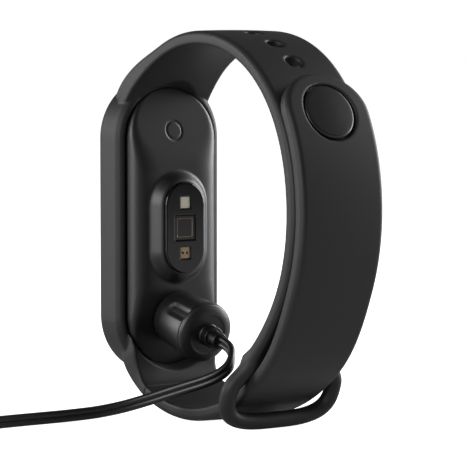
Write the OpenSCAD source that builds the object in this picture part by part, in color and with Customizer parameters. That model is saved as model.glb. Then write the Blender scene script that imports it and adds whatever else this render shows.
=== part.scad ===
// Fitness tracker band with its magnetic charging puck.
// X runs across the band, Y from the display (front, -Y) to the clasp (+Y), Z is up.
// The band stands on the floor at z = 0, centred on X and on its depth.

/* [Band] */
// Overall height of the closed band
band_h = 62.4; // [56:0.1:76]
// Overall depth from display glass to clasp
band_d = 55; // [50:0.1:66]
// Width of the free straps
strap_w = 15.5; // [13:0.1:18]
// Thickness of one free strap
strap_t = 2.1; // [1.7:0.1:2.6]
// Thickness of a strap where it grows out of the frame
root_t = 4.4; // [3.4:0.1:5]
// Width of a strap where it grows out of the frame
root_w = 16.6; // [14:0.1:18]
// Gap between the two overlapping straps
strap_gap = 0.1; // [0.05:0.01:0.3]
// Extra gap between the straps where the keeper lets the outer one in
strap_spread = 0.9; // [0.6:0.1:1.4]
// Corner radius of a strap's outer edges
edge_r = 0.85; // [0.4:0.05:1]
// Height of the slight crown across a strap's outer face
crown = 0.15; // [0:0.05:0.3]

/* [Clasp] */
// Radius of a hole in the strap
hole_r = 1.7; // [1.5:0.05:2]
// Spacing of the strap holes, as a part of the quarter turn they lie on
hole_pitch = 0.1375; // [0.12:0.0005:0.15]
// Radius of the stud's stem
stem_r = 1.25; // [1:0.05:1.3]
// Radius of the stud's cap
cap_r = 4.4; // [3.6:0.1:5]
// Thickness of the stud's cap
cap_t = 0.8; // [0.6:0.1:1]
// Gap between the cap and the wall of its recess
cap_gap = 0.35; // [0.2:0.05:0.6]
// Radius of the keeper ring's rod
rod_r = 1.3; // [1:0.1:1.6]
// Side gap between a strap and the inside of the keeper ring
ring_gap = 1.05; // [0.7:0.05:1.6]

/* [Tracker] */
// Length of the tracker
track_len = 46.9; // [40:0.1:54]
// Width of the tracker
track_w = 18.1; // [17.4:0.1:21]
// Depth of the tracker from glass to the flat of its back
track_t = 10.3; // [9.4:0.1:12]
// How far the sensor window stands behind the flat of the back
bump_h = 1.7; // [1:0.1:2.4]
// Length of the sensor window
window_len = 15; // [13:0.1:17]
// Width of the sensor window
window_w = 7.6; // [7:0.1:9]
// Housing wall
wall = 0.9; // [0.7:0.05:1.1]
// Running gap between the tracker and the frame
slip = 0.06; // [0.04:0.01:0.1]
// Thickness of the front glass
glass_t = 0.8; // [0.6:0.05:1]

/* [Frame] */
// Frame wall beside the tracker
frame_wall = 1.0; // [0.8:0.1:1.6]
// Frame wall beyond the tracker's ends
frame_end = 1.2; // [1:0.1:2]
// Distance from the glass to the frame's front edge
frame_inset = 1.0; // [0.6:0.1:1.4]
// Depth of the frame
frame_d = 6.45; // [5.6:0.05:7.2]
// Thickness of the frame's rear lip
lip_t = 0.9; // [0.6:0.05:1.2]
// How far the rear lip reaches in behind the tracker's flange
lip_in = 0.45; // [0.3:0.05:0.6]

/* [Charger] */
// Tilt of the charging facets at the ends of the tracker's back
dock_tilt = 13; // [8:0.5:16]
// Where a facet starts, from the middle of the tracker
facet_start = 9.3; // [8:0.1:11]
// Place of the charging contacts, from the end of the tracker
dock_end = 8.6; // [8:0.05:9.5]
// Diameter of the puck
puck_d = 9.6; // [9:0.1:10.4]
// Length of the puck
puck_len = 9.8; // [9:0.1:12]
// Spacing of the two charging contacts
pin_pitch = 3.6; // [3:0.1:4]
// Radius of a sprung charging pin
pin_r = 0.45; // [0.35:0.05:0.5]
// Radius of the strain relief's first step
boot_r = 1.8; // [1.5:0.1:2.2]
// Length of the strain relief
boot_len = 3.6; // [3:0.1:5]

/* [Cord and plug] */
// Width of the flat twin cord
cord_d = 2; // [2:0.1:2]
// Width of the plug's grip
grip_w = 15.4; // [14:0.1:17]
// Height of the plug's grip
grip_h = 7; // [6.6:0.1:8]
// Length of the plug's grip
grip_len = 18; // [16:0.5:24]
// Width of the plug's metal shell
shell_w = 12; // [11.9:0.05:12.1]
// Height of the plug's metal shell
shell_h = 4.5; // [4.4:0.05:4.6]
// Length of the plug's metal shell
shell_len = 12; // [11.7:0.05:12.3]
// Sheet thickness of the plug's metal shell
shell_wall = 0.3; // [0.25:0.05:0.4]

/* [Hidden] */
$fn = 48;
eps = 0.01;

// ---- places that everything else is worked out from ----
glass_y = -band_d / 2;                       // front of the glass
back_y = glass_y + track_t;                  // flat of the tracker's back
window_y = back_y + bump_h + 0.1;            // face of the sensor window
frame_y0 = glass_y + frame_inset;            // front edge of the frame
frame_y1 = frame_y0 + frame_d;               // back edge of the frame
lip_y = frame_y1 - lip_t;                    // front of the rear lip
mid_z = 0.4824 * band_h;                     // middle height of the tracker
half_len = track_len / 2;
half_w = track_w / 2;
dock_z = half_len - dock_end;                // charging contacts, from the middle of the tracker
both_t = 2 * strap_t + crown + strap_gap;    // both straps at the clasp
clasp_y = band_d / 2 - crown;                // outer face of the stud strap at its edges

// ---- small helpers ----
function smooth(t) = let (u = max(0, min(1, t))) u * u * (3 - 2 * u);
function unit(v) = v / norm(v);

// A cubic curve from one station to the next. A station is [y, z, heading].
// Its handles are those of an arc with the same turn, times a fullness.
function curve(a, b, fullness = 1) =
  let (turn = abs(b[2] - a[2]),
       reach = fullness * norm([b[0] - a[0], b[1] - a[1]]) / (3 * pow(cos(turn / 4), 2)))
  [[a[0], a[1]], [a[0] + reach * cos(a[2]), a[1] + reach * sin(a[2])],
   [b[0] - reach * cos(b[2]), b[1] - reach * sin(b[2])], [b[0], b[1]]];
function curve_point(c, t) =
  pow(1 - t, 3) * c[0] + 3 * t * pow(1 - t, 2) * c[1] + 3 * t * t * (1 - t) * c[2] + pow(t, 3) * c[3];
function curve_slope(c, t) =
  pow(1 - t, 2) * (c[1] - c[0]) + 2 * t * (1 - t) * (c[2] - c[1]) + t * t * (c[3] - c[2]);
function curve_station(c, t) =
  let (p = curve_point(c, t), d = curve_slope(c, t)) [p[0], p[1], atan2(d[1], d[0])];

// Joins rings of points into a closed skin with flat ends.
module skin(rings) {
  n = len(rings[0]);
  m = len(rings);
  sides = [for (i = [0 : m - 2], j = [0 : n - 1])
    [i * n + j, i * n + (j + 1) % n, (i + 1) * n + (j + 1) % n, (i + 1) * n + j]];
  first = [for (j = [n - 1 : -1 : 0]) j];
  last = [for (j = [0 : n - 1]) (m - 1) * n + j];
  polyhedron([for (r = rings) each r], concat([first], sides, [last]), convexity = 8);
}

// Outline of a strap: x across it, v from its inner face out to its crowned outer face.
corner_steps = 3;
inner_r = 0.4;                               // edge radius of the strap's inner face
function strap_outline(w, t) =
  let (r = min(edge_r, t / 2 - 0.05, 0.45 * w), q = min(inner_r, 0.45 * w), s = corner_steps)
  concat(
    [for (i = [0 : s]) let (a = -90 + 90 * i / s) [w / 2 - q + q * cos(a), q + q * sin(a)]],
    [for (i = [0 : s]) let (a = 90 * i / s) [w / 2 - r + r * cos(a), t - r + r * sin(a)]],
    [[0, t + crown]],
    [for (i = [0 : s]) let (a = 90 + 90 * i / s) [-w / 2 + r + r * cos(a), t - r + r * sin(a)]],
    [for (i = [0 : s]) let (a = 180 + 90 * i / s) [-w / 2 + q + q * cos(a), q + q * sin(a)]]);
// Puts that outline at a station; side is 1 where outward is left of the heading, -1 where right.
function strap_ring(st, w, t, side) =
  let (n = [-sin(st[2]), cos(st[2])] * side, o = strap_outline(w, t))
  [for (p = side > 0 ? o : [for (i = [len(o) - 1 : -1 : 0]) o[i]])
    [p[0], st[0] + n[0] * p[1], st[1] + n[1] * p[1]]];

// ---- the hole strap: from the frame's top, over the crest and down inside the clasp ----
hole_root = [glass_y + frame_inset + frame_d - 0.65, mid_z + half_len - 2.9, 52];
hole_crest = [-1.1, band_h - strap_t - crown, 0];
hole_back = [clasp_y - both_t, mid_z + 4.4, -90];
hole_low = [hole_back[0] - 9.3, mid_z - 16.85, -137];
hole_curves = [curve(hole_root, hole_crest), curve(hole_crest, hole_back, 1.07),
               curve(hole_back, hole_low)];
// Station of the inner face at s: 0 the frame, 1 the crest, 2 the back of the clasp, 3 the keeper.
function hole_station(s) =
  let (k = min(2, floor(s))) curve_station(hole_curves[k], s - k);
function out_of(st, d) = [st[0] - d * sin(st[2]), st[1] + d * cos(st[2]), st[2]];
function root_mix(s, reach) = 1 - smooth(s / reach);
function hole_ring(s) =
  strap_ring(hole_station(s), strap_w + (root_w - strap_w) * root_mix(s, 0.5),
             strap_t + (root_t - strap_t) * root_mix(s, 0.55), 1);
root_end = 0.55;
hole_steps = 12;

// ---- the stud strap: from the frame's bottom, through the keeper, up outside the hole strap ----
stud_root = [glass_y + 4.8, mid_z - half_len + 2.4, -74];
stud_corner = [-16.5, 2.45, -23];
stud_bottom = [-5.1, crown, 0];
function clasp_station(s) =
  let (spread = strap_spread * smooth((s - 2.45) / 0.55), st = out_of(hole_station(s), both_t + spread))
  [st[0], st[1], st[2] + 180];
stud_ring = clasp_station(3);
stud_curves = [curve(stud_root, stud_corner), curve(stud_corner, stud_bottom),
               curve(stud_bottom, stud_ring)];
function stud_ring_at(s) =
  let (k = min(2, floor(s)), st = curve_station(stud_curves[k], s - k),
       w = strap_w + (root_w - strap_w) * root_mix(s, 0.8),
       t = strap_t + (root_t - strap_t) * root_mix(s, 1))
  // the path is the outer face, so the ring starts one thickness further in
  strap_ring([st[0] - t * sin(st[2]), st[1] + t * cos(st[2]), st[2]], w, t, -1);
stud_root_end = 1;

// ---- clasp places, on the quarter turn between crest and back ----
tip_s = 1.5;                                 // end of the stud strap
stud_s = 1.66;                               // stud
tip_round = strap_w / 2 - 0.6;               // length of the rounded tip
tip_flat = 1;                                // width of its very end
quarter = norm([hole_back[0] - hole_crest[0], hole_back[1] - hole_crest[1]]) * 1.27;
function tip_width(s) =
  let (d = (s - tip_s) * quarter / tip_round, u = max(0, 1 - d))
  tip_flat + (strap_w - tip_flat) * sqrt(max(0, 1 - u * u));
function tip_ring(s) =
  let (st = clasp_station(s), t = strap_t - 0.5 * (1 - smooth((s - tip_s) / 0.05)))
  strap_ring([st[0] - strap_t * sin(st[2]), st[1] + strap_t * cos(st[2]), st[2]],
             tip_width(s), t, -1);

// Moves children to the strap at s, with local +Z pointing out of the hole strap's inner face.
module at_strap(s) {
  st = hole_station(s);
  translate([0, st[0], st[1]]) rotate([st[2], 0, 0]) children();
}

// ---- tracker shapes ----
// A plate with round ends, its width along X and length along Z, between y0 and y1.
module slab(w, l, y0, y1) {
  translate([0, y1, mid_z]) rotate([90, 0, 0]) linear_extrude(y1 - y0)
    union() {
      square([w, l - w], center = true);
      for (side = [-1, 1])
        translate([0, side * (l - w) / 2]) circle(w / 2, $fn = 64);
    }
}
// Side view of the tracker's back: flat in the middle, with a tilted facet at each end.
function facet_y(dz) = back_y - max(0, dz - facet_start) * tan(dock_tilt);
module back_profile(shrink, y0) {
  far = half_len + 2;
  rotate([90, 0, 90]) linear_extrude(track_w + 4, center = true)
    polygon([[y0, mid_z - far], [facet_y(far) - shrink, mid_z - far],
             [back_y - shrink, mid_z - facet_start], [back_y - shrink, mid_z + facet_start],
             [facet_y(far) - shrink, mid_z + far], [y0, mid_z + far]]);
}
// A small block given by its middle on X, low corner on Y, middle height from mid_z, and size.
module block(x, y, dz, size) {
  translate([x - size[0] / 2, y, mid_z + dz - size[2] / 2]) cube(size);
}
// Moves children to the charging facet, with local +Z along the puck, away from the tracker.
module at_dock() {
  translate([0, facet_y(dock_z), mid_z - dock_z]) rotate([-90 - dock_tilt, 0, 0]) children();
}
module at_pins() {
  for (side = [-1, 1]) translate([side * pin_pitch / 2, 0, 0]) children();
}

// ---- the band ----
module band_frame() {
  color("#3a3a3b") difference() {
    union() {
      slab(track_w + 2 * (slip + frame_wall), track_len + 2 * (slip + frame_end), frame_y0, frame_y1);
      skin([for (i = [0 : 5]) hole_ring(root_end * i / 5)]);
      skin([for (i = [0 : 6]) stud_ring_at(stud_root_end * i / 6)]);
    }
    slab(track_w + 2 * slip, track_len + 2 * slip, frame_y0 - 6, lip_y);
    slab(track_w - 2 * lip_in, track_len - 2 * lip_in, lip_y - eps, frame_y1 + 3);
  }
}
module hole_strap() {
  color("#2e2e2e") difference() {
    skin(concat([for (i = [0 : 3]) hole_ring(root_end + (1 - root_end) * i / 3)],
                [for (i = [1 : hole_steps]) hole_ring(1 + i / hole_steps)],
                [for (i = [1 : 8]) hole_ring(2 + i / 8)]));
    for (i = [-4 : 3])
      at_strap(stud_s + i * hole_pitch) cylinder(h = 3 * strap_t, r = hole_r, center = true);
  }
}
// The keeper: a neck that widens out of the hole strap, and an oval ring round the stud strap.
ring_half = strap_w / 2 + ring_gap + rod_r;
ring_top = out_of([hole_low[0] + rod_r * cos(hole_low[2]), hole_low[1] + rod_r * sin(hole_low[2]),
                   hole_low[2]], strap_t / 2);
bar = [stud_bottom[0] + 14.7, rod_r];
ring_len = norm([ring_top[0] - bar[0], ring_top[1] - bar[1]]);
ring_tilt = atan2(bar[1] - ring_top[1], bar[0] - ring_top[0]);
ring_points = 44;
ring_power = 0.62;
function signed_pow(v, p) = sign(v) * pow(abs(v), p);
ring_neck = 0.76;                            // width at its top, where it grows out of the strap
function ring_centre(a) =
  let (along = ring_len / 2 * (1 + signed_pow(cos(a), ring_power)),
       spread = ring_neck + (1 - ring_neck) * smooth(along / (0.5 * ring_len)))
  [ring_half * spread * signed_pow(sin(a), ring_power), ring_top[0] + along * cos(ring_tilt),
   ring_top[1] + along * sin(ring_tilt)];
module keeper_ring() {
  normal = [0, -sin(ring_tilt), cos(ring_tilt)];
  rings = [for (i = [0 : ring_points - 1])
    let (a = 360 * (i + 0.5) / ring_points, c = ring_centre(a),
         d = unit(ring_centre(a + 2) - ring_centre(a - 2)), side = cross(normal, d))
    [for (j = [0 : 9]) c + rod_r * (cos(36 * j) * side + sin(36 * j) * normal)]];
  faces = [for (i = [0 : ring_points - 1], j = [0 : 9]) let (k = (i + 1) % ring_points)
    [i * 10 + j, k * 10 + j, k * 10 + (j + 1) % 10, i * 10 + (j + 1) % 10]];
  neck = [for (i = [0 : 3]) let (t = i / 3)
    strap_ring([hole_low[0] + rod_r * t * cos(hole_low[2]), hole_low[1] + rod_r * t * sin(hole_low[2]),
                hole_low[2]], strap_w + 1.5 * smooth(t), strap_t, 1)];
  color("#2d2c2b") union() {
    polyhedron([for (r = rings) each r], faces, convexity = 8);
    skin(neck);
  }
}
module stud_strap() {
  color("#2a2b2a") skin(concat(
    [for (i = [0 : 3]) stud_ring_at(stud_root_end + i / 3)],
    [for (i = [1 : 8]) stud_ring_at(2 + i / 8)],
    [for (i = [1 : 10]) strap_ring(
      let (st = clasp_station(3 - i / 10))
      [st[0] - strap_t * sin(st[2]), st[1] + strap_t * cos(st[2]), st[2]], strap_w, strap_t, -1)]));
}
recess_t = cap_t + 0.1;
out_face = both_t + crown;
module strap_tip() {
  tip_steps = concat([0, 0.008, 0.03], [for (i = [0 : 11]) 0.06 + 0.04 * i]);
  color("#2a2b2a") difference() {
    skin([for (i = [len(tip_steps) - 1 : -1 : 0]) tip_ring(tip_s + tip_steps[i])]);
    at_strap(stud_s) translate([0, 0, out_face - recess_t]) cylinder(h = 3, r = cap_r + cap_gap);
    at_strap(stud_s) cylinder(h = 6, r = stem_r);
  }
}
module stud_cap() {
  color("#262627") at_strap(stud_s) translate([0, 0, out_face - recess_t])
    rotate_extrude() polygon([[0, 0], [cap_r, 0], [cap_r, cap_t - 0.25], [cap_r - 0.25, cap_t],
                              [0, cap_t]]);
}
module stud_post() {
  color("#3b3b3d") at_strap(stud_s) rotate_extrude()
    polygon([[0, 0.15], [stem_r - 0.35, 0.15], [stem_r, 0.5], [stem_r, 1],
             [stem_r - 0.25, 1.3], [stem_r - 0.25, strap_t], [stem_r, both_t - strap_t],
             [stem_r, out_face - recess_t], [0, out_face - recess_t]]);
}

// ---- the tracker, from the front ----
adhesive_t = 0.2;
glass_back = glass_y + glass_t;
shell_y0 = glass_back + adhesive_t;
seam_y = lip_y - slip;                       // end of the flange that rests on the rear lip
cover_gap = 0.05;
cover_w = track_w - 2 * lip_in - 2 * slip;   // back part that passes through the lip
cover_len = track_len - 2 * lip_in - 2 * slip;
module front_glass() {
  color("#0b0c0e") union() {
    slab(track_w, track_len, glass_y + 0.35, glass_back);
    slab(track_w - 1.2, track_len - 1.2, glass_y, glass_y + 0.35);
  }
}
screen_w = 14.4;
screen_len = track_len - 16.9;
module glass_adhesive() {
  color("#17181a") difference() {
    slab(track_w - 0.4, track_len - 0.4, glass_back, shell_y0);
    block(0, glass_back - 1, 0, [screen_w + 0.6, 3, screen_len + 0.6]);
  }
}
panel_t = 1.1;
module display_panel() {
  color("#14202b") block(0, glass_back, 0, [screen_w, panel_t, screen_len]);
}
module display_flex() {
  color("#b5722a") union() {
    block(0, glass_back + panel_t, -screen_len / 2 + 3, [7, 0.12, 6]);
    block(0, glass_back + panel_t + 0.12, -screen_len / 2 + 1, [7, 1.6, 0.12]);
  }
}
module mid_housing() {
  color("#202021") difference() {
    slab(track_w, track_len, shell_y0, seam_y);
    slab(track_w - 2 * wall, track_len - 2 * wall, shell_y0 - 1, seam_y + 1);
  }
}
module rear_cover() {
  skirt_y = seam_y + cover_gap;
  color("#262627") difference() {
    union() {
      intersection() {
        slab(cover_w, cover_len, skirt_y, back_y + 1);
        back_profile(0, skirt_y);
      }
      hull() {
        slab(window_w + 5, window_len + 5, back_y - wall, back_y);
        slab(window_w + 1.4, window_len + 1.4, back_y - wall, back_y + bump_h);
      }
    }
    intersection() {
      slab(cover_w - 2 * wall, cover_len - 2 * wall, skirt_y - 1, back_y);
      back_profile(wall, skirt_y - 1);
    }
    slab(window_w + 0.1, window_len + 0.1, back_y - 2 * wall, back_y + 5);
    at_dock() at_pins() cylinder(h = 4, r = contact_r + 0.02, center = true);
    at_mark() rotate_extrude() translate([mark_r, 0]) square([0.5, 0.3], center = true);
  }
}
// A plain round groove, the only mark on the back
mark_r = 1.6;
mark_z = 15.9;
module at_mark() {
  translate([0, facet_y(mark_z), mid_z + mark_z]) rotate([-90 + dock_tilt, 0, 0]) children();
}
contact_r = 0.7;
window_t = 1.1;
module sensor_window() {
  color("#050506") slab(window_w, window_len, window_y - window_t, window_y);
}
board_y = window_y - 3.1;
chip_y = board_y + 0.5;
led_z = 4.15;
module sensor_board() {
  color("#1c4a30") slab(6.6, 14, board_y, chip_y);
}
module emitter(dz) {
  union() {
    block(0, chip_y, dz, [2, 0.5, 2]);
    block(0, chip_y + 0.5, dz, [1.1, 0.3, 1.1]);
  }
}
module led_top() { color("#d9d4c7") emitter(led_z); }
module led_bottom() { color("#d6b58a") emitter(-led_z); }
module photodiode() {
  color("#1a2430") union() {
    block(0, chip_y, 0, [4.3, 0.6, 4.2]);
    block(0, chip_y + 0.6, 0, [3.4, 0.25, 3.3]);
  }
}
board_t = 0.8;
board_front = seam_y - board_t - 0.05;
module main_board() {
  color("#173f2b") difference() {
    slab(cover_w - 2 * wall - 0.4, cover_len - 2 * wall - 0.4, board_front, board_front + board_t);
    block(0, board_front - 1, motor_z, [2 * motor_r + 1.4, 3, 2 * motor_r + 1.4]);
  }
}
shield_z = 9.95 - half_len;
module shield_can() {
  color("#9a9c9e") difference() {
    block(0, board_front - 1.6, shield_z, [11, 1.6, 10]);
    block(0, board_front - 1.45, shield_z, [10.7, 1.6, 9.7]);
  }
}
module board_chips() {
  color("#101112") union() {
    block(-2.5, board_front - 1, shield_z + 1.5, [4, 1, 4]);
    block(2.6, board_front - 0.9, shield_z + 1.5, [3, 0.9, 3.6]);
    block(1, board_front - 0.8, shield_z - 2.5, [5, 0.8, 2]);
  }
}
battery_t = 3;
battery_len = track_len - 29.9;
battery_z = 1.2;
module battery() {
  color("#b9bcc0") block(0, glass_back + panel_t + 0.3, battery_z, [13, battery_t, battery_len]);
}
module battery_tape() {
  color("#c9a227") block(0, glass_back + panel_t + 0.3 + battery_t, battery_z, [13.02, 0.12, 5]);
}
motor_y = glass_back + panel_t + 0.4;
motor_r = 4;
motor_h = 2.7;
motor_z = half_len - motor_r - 4.25;
module at_motor(y) {
  translate([0, y, mid_z + motor_z]) rotate([-90, 0, 0]) children();
}
module motor_case() {
  color("#a7a9ab") at_motor(motor_y) difference() {
    cylinder(h = motor_h, r = motor_r);
    translate([0, 0, 0.25]) cylinder(h = motor_h - 0.5, r = motor_r - 0.25);
  }
}
module motor_rotor() {
  color("#8d7a4a") at_motor(motor_y + 0.4) intersection() {
    cylinder(h = motor_h - 0.8, r = motor_r - 0.45);
    translate([-5, -0.8, 0]) cube([10, 6, motor_h]);
  }
}
module charge_contacts() {
  color("#c9a55c") at_dock() at_pins() translate([0, 0, -wall - 0.6])
    cylinder(h = wall + 0.6, r = contact_r);
}
module dock_plates() {
  color("#7d7f82") at_dock() for (side = [-1, 1])
    translate([0, side * (magnet_at + 0.4), -wall - 0.55]) cylinder(h = 0.5, r = 1.4);
}

// ---- the charging puck ----
puck_r = puck_d / 2;
face_t = 0.8;
seam_at = puck_len - 1.3;                   // where the cap meets the shell
shell_t = 0.8;
flare = 0.3;                                 // the shell widens by this much each way
pin_tip = 0.35;                              // air gap between the puck's face and the facet
barrel_len = 3.4;
module puck_shell() {
  color("#333334") at_dock() rotate_extrude()
    polygon([[puck_r - shell_t, pin_tip], [puck_r - flare - 0.15, pin_tip],
             [puck_r - flare, pin_tip + 0.2], [puck_r + flare, seam_at],
             [puck_r + flare - shell_t, seam_at]]);
}
cap_round = 1;
module puck_cap() {
  r = puck_r + flare;
  color("#343435") at_dock() rotate_extrude() difference() {
    union() {
      translate([0, seam_at]) square([r, puck_len - seam_at - cap_round]);
      translate([0, seam_at]) square([r - cap_round, puck_len - seam_at]);
      translate([r - cap_round, puck_len - cap_round]) circle(cap_round);
    }
    translate([-1, seam_at - 1]) square([r - shell_t + 1, puck_len - seam_at + 1 - 1.2]);
    translate([-1, 0]) square([boot_bore + 1, puck_len + 2]);
    translate([-r, seam_at - 5]) square([3 * r, 5]);
    translate([-3 * r, -1]) square([3 * r, puck_len + 3]);
  }
}
boot_bore = 1.2;
module puck_face() {
  color("#1d1d1e") at_dock() difference() {
    translate([0, 0, pin_tip]) cylinder(h = face_t, r = puck_r - shell_t);
    at_pins() cylinder(h = 6, r = barrel_r, center = true);
    for (side = [-1, 1]) translate([0, side * magnet_at, -1]) cylinder(h = 6, r = magnet_r);
  }
}
magnet_r = 1.15;
magnet_at = puck_r - shell_t - magnet_r - 0.25;   // magnets, above and below the axis
barrel_r = 0.75;
module puck_magnets() {
  color("#b4b6b8") at_dock() for (side = [-1, 1])
    translate([0, side * magnet_at, pin_tip + 0.2]) cylinder(h = 2.4, r = magnet_r);
}
// Each barrel is a cup that opens towards the tracker, with room for its pin and spring
pin_play = 0.05;
pin_foot = 1.5;                              // length of a pin
head_r = pin_r + 0.08;
module pin_barrels() {
  color("#b8935a") at_dock() at_pins() difference() {
    translate([0, 0, pin_tip]) cylinder(h = barrel_len, r = barrel_r);
    translate([0, 0, 0]) cylinder(h = pin_tip + 0.25, r = pin_r + pin_play);
    translate([0, 0, pin_tip + 0.2]) cylinder(h = barrel_len - 0.45, r = head_r + pin_play);
  }
}
module pin(side) {
  color("#d8b469") at_dock() translate([side * pin_pitch / 2, 0, 0]) rotate_extrude()
    polygon([[0, 0], [pin_r - 0.15, 0], [pin_r, 0.15], [pin_r, 0.9], [head_r, 0.9],
             [head_r, pin_foot], [0, pin_foot]]);
}
module pin_left() { pin(-1); }
module pin_right() { pin(1); }
module spring(side) {
  color("#a5a7aa") at_dock() translate([side * pin_pitch / 2, 0, pin_foot]) difference() {
    cylinder(h = pin_tip + barrel_len - 0.25 - pin_foot, r = head_r);
    translate([0, 0, -1]) cylinder(h = barrel_len + 2, r = head_r - 0.18);
  }
}
module spring_left() { spring(-1); }
module spring_right() { spring(1); }
module puck_board() {
  color("#1c4a30") at_dock() translate([0, 0, pin_tip + barrel_len])
    cylinder(h = 0.6, r = puck_r - shell_t - 0.1);
}
module strain_relief() {
  step = 2;
  color("#1b1b1c") at_dock() translate([0, 0, puck_len - 1.2]) rotate_extrude()
    polygon([[0, 0], [boot_bore, 0], [boot_bore, 1.2], [boot_r, 1.2], [boot_r, 1.2 + step - 0.2],
             [boot_r - 0.2, 1.2 + step], [boot_r - 0.4, 1.2 + step],
             [boot_r - 0.45, 1.2 + boot_len], [0, 1.2 + boot_len]]);
}

// ---- the cord: a twin flat lead, its coil and its plug ----
cord_r = cord_d / 2;
exit_at = puck_len + boot_len + 0.02;
exit_point = [0, facet_y(dock_z) + exit_at * cos(dock_tilt), mid_z - dock_z - exit_at * sin(dock_tilt)];
lead_route = [
  [0, -5.4, 12.3], [0, -3.8, 11.85], [0.3, -2.1, 11.2], [1, -0.8, 10.1], [2.1, -0.2, 8.7],
  [3.6, -0.7, 7.5], [5.3, -2.1, 6.5], [7.2, -4.3, 5.5], [9.2, -6.8, 4.4], [11.8, -9.2, 3.2],
  [15, -11.4, 2.1], [18.6, -13, 1.4], [22.6, -14, 1.1], [27, -14.5, 1], [32, -14.6, 1],
  [37, -14.5, 1], [41, -14.5, 1], [44.5, -14.5, 1]];
coil_middle = [44.5, -25.5];
coil_outer = 11;                             // middle of the outermost turn
coil_inner = 7;                              // middle of the innermost turn
coil_layers = 2;
tail_route = [[44.5, -14.5, 3], [48, -14.4, 3], [51.5, -14, 3.2], [55, -13.5, 3.5], [57.5, -13.5, 3.5]];
plug_at = tail_route[len(tail_route) - 1];
module tube(route) {
  n = len(route);
  sides = 8;
  rings = [for (i = [0 : n - 1])
    let (d = unit(route[min(n - 1, i + 1)] - route[max(0, i - 1)]),
         side = unit(cross(d, [0, 0, 1])), up = cross(side, d))
    [for (j = [0 : sides - 1]) let (a = 360 * j / sides)
      route[i] + cord_r * (cos(a) * side + sin(a) * up)]];
  skin(rings);
}
module cord_lead() {
  color("#161616") tube(concat([exit_point], [for (i = [1 : len(lead_route) - 1]) lead_route[i]]));
}
module cord_tail() { color("#161616") tube(tail_route); }
module cord_coil() {
  color("#161616") translate([coil_middle[0], coil_middle[1], 0]) rotate_extrude()
    translate([coil_inner - cord_r, 0])
      square([coil_outer - coil_inner + cord_d, coil_layers * cord_d]);
}
// Moves children to the plug, with local +X out of its metal shell and z at its middle height
module at_plug() {
  translate([plug_at[0], plug_at[1], grip_h / 2]) children();
}
grip_round = 1.4;
module plug_grip() {
  color("#1a1a1b") at_plug() difference() {
    rotate([0, 90, 0]) linear_extrude(grip_len) offset(grip_round)
      square([grip_h - 2 * grip_round, grip_w - 2 * grip_round], center = true);
    translate([grip_len - 6, -shell_w / 2, -shell_h / 2]) cube([8, shell_w, shell_h]);
  }
}
module plug_shell() {
  color("#b9bbbd") at_plug() difference() {
    translate([grip_len - 6, -shell_w / 2, -shell_h / 2]) cube([shell_len + 6, shell_w, shell_h]);
    translate([grip_len - 6 + shell_wall, -shell_w / 2 + shell_wall, -shell_h / 2 + shell_wall])
      cube([shell_len + 8, shell_w - 2 * shell_wall, shell_h - 2 * shell_wall]);
    for (side = [-1, 1], face = [-1, 1])
      translate([grip_len + shell_len / 2, side * 2.9, face * shell_h / 2]) cube([2.2, 1.9, 2], center = true);
  }
}
tongue_w = 11;
tongue_t = 1.8;
module plug_tongue() {
  color("#e8e8e6") at_plug()
    translate([grip_len - 6 + shell_wall, -tongue_w / 2, -shell_h / 2 + shell_wall])
      cube([shell_len + 5, tongue_w, tongue_t]);
}
module plug_contacts() {
  color("#d8b469") at_plug() for (side = [-1.5, -0.5, 0.5, 1.5])
    translate([grip_len + 1.5, side * 2.3 - 0.5, -shell_h / 2 + shell_wall + tongue_t])
      cube([8.5, 1, 0.15]);
}

band_frame();
hole_strap();
keeper_ring();
stud_strap();
strap_tip();
stud_cap();
stud_post();
front_glass();
glass_adhesive();
display_panel();
display_flex();
mid_housing();
rear_cover();
sensor_window();
sensor_board();
led_top();
photodiode();
led_bottom();
main_board();
shield_can();
board_chips();
battery();
battery_tape();
motor_case();
motor_rotor();
charge_contacts();
dock_plates();
puck_shell();
puck_cap();
puck_face();
puck_magnets();
pin_barrels();
pin_left();
pin_right();
spring_left();
spring_right();
puck_board();
strain_relief();
cord_lead();
cord_coil();
cord_tail();
plug_grip();
plug_shell();
plug_tongue();
plug_contacts();
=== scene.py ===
# %% [markdown]
# # A fitness tracker band on its charging puck
# The real object is a soft silicone band, closed on itself, with an oval tracker pushed into it.
# A small magnetic puck charges the tracker from behind, and a thin twin lead runs away along the floor.
# A CAD model settles sizes and joints. This file adds moulded surfaces, finishes, the lead,
# the floor and the light.
# Lengths below are in millimetres; `add_piece` turns them into metres, the unit of the scene.
# X runs across the band, Y from the display towards the clasp, and Z is up.

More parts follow.
